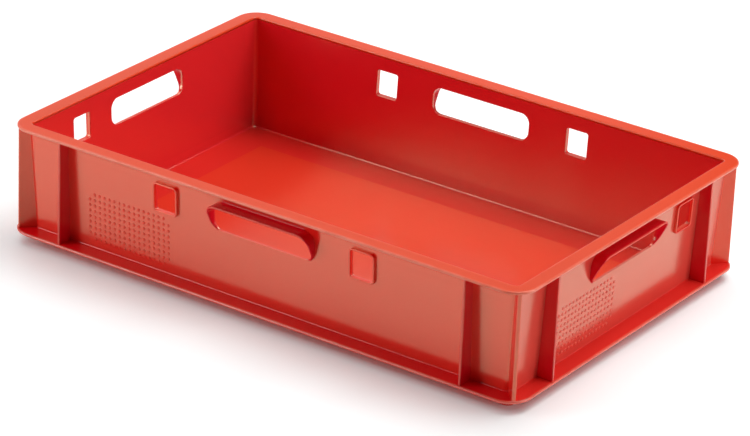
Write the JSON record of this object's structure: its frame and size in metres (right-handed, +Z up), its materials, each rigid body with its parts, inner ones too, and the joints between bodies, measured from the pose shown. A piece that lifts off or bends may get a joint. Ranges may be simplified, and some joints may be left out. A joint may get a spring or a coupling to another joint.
{
  "type": "plastic stacking crate",
  "caption": "Low open stacking crate with leaning solid walls, a flat rim, a stacking flange and foot, ribs, hooded hand holes, collared square holes and label pips.",
  "frame": {"origin": "middle of the footprint at the height of the foot's underside", "axes": "+X along the long side, +Y across to the back, +Z up out of the mouth"},
  "size_m": [0.6, 0.4, 0.125],
  "materials": {
    "crate_plastic": "satin moulded polyethylene, red"
  },
  "bodies": {
    "root": {"back_wall": "crate_plastic", "base_flange_back": "crate_plastic", "base_flange_front": "crate_plastic", "base_flange_left": "crate_plastic", "base_flange_right": "crate_plastic", "corner_fin_back_left": "crate_plastic", "corner_fin_back_right": "crate_plastic", "corner_fin_front_left": "crate_plastic", "corner_fin_front_right": "crate_plastic", "corner_post_back_left": "crate_plastic", "corner_post_back_right": "crate_plastic", "corner_post_front_left": "crate_plastic", "corner_post_front_right": "crate_plastic", "floor_margin_back": "crate_plastic", "floor_margin_front": "crate_plastic", "floor_margin_left": "crate_plastic", "floor_margin_right": "crate_plastic", "floor_panel": "crate_plastic", "front_wall": "crate_plastic", "hand_hood_back": "crate_plastic", "hand_hood_front": "crate_plastic", "hand_hood_left": "crate_plastic", "hand_hood_right": "crate_plastic", "label_pips_back": "crate_plastic", "label_pips_front": "crate_plastic", "label_pips_left": "crate_plastic", "label_pips_right": "crate_plastic", "left_wall": "crate_plastic", "rib_back_left": "crate_plastic", "rib_back_right": "crate_plastic", "rib_front_left": "crate_plastic", "rib_front_right": "crate_plastic", "rib_left_left": "crate_plastic", "rib_left_right": "crate_plastic", "rib_right_left": "crate_plastic", "rib_right_right": "crate_plastic", "right_wall": "crate_plastic", "rim_back": "crate_plastic", "rim_front": "crate_plastic", "rim_left": "crate_plastic", "rim_right": "crate_plastic", "square_collar_back_left": "crate_plastic", "square_collar_back_right": "crate_plastic", "square_collar_front_left": "crate_plastic", "square_collar_front_right": "crate_plastic", "square_collar_left": "crate_plastic", "square_collar_right": "crate_plastic", "stacking_foot_back": "crate_plastic", "stacking_foot_front": "crate_plastic", "stacking_foot_left": "crate_plastic", "stacking_foot_right": "crate_plastic"}
  },
  "joints": []
}
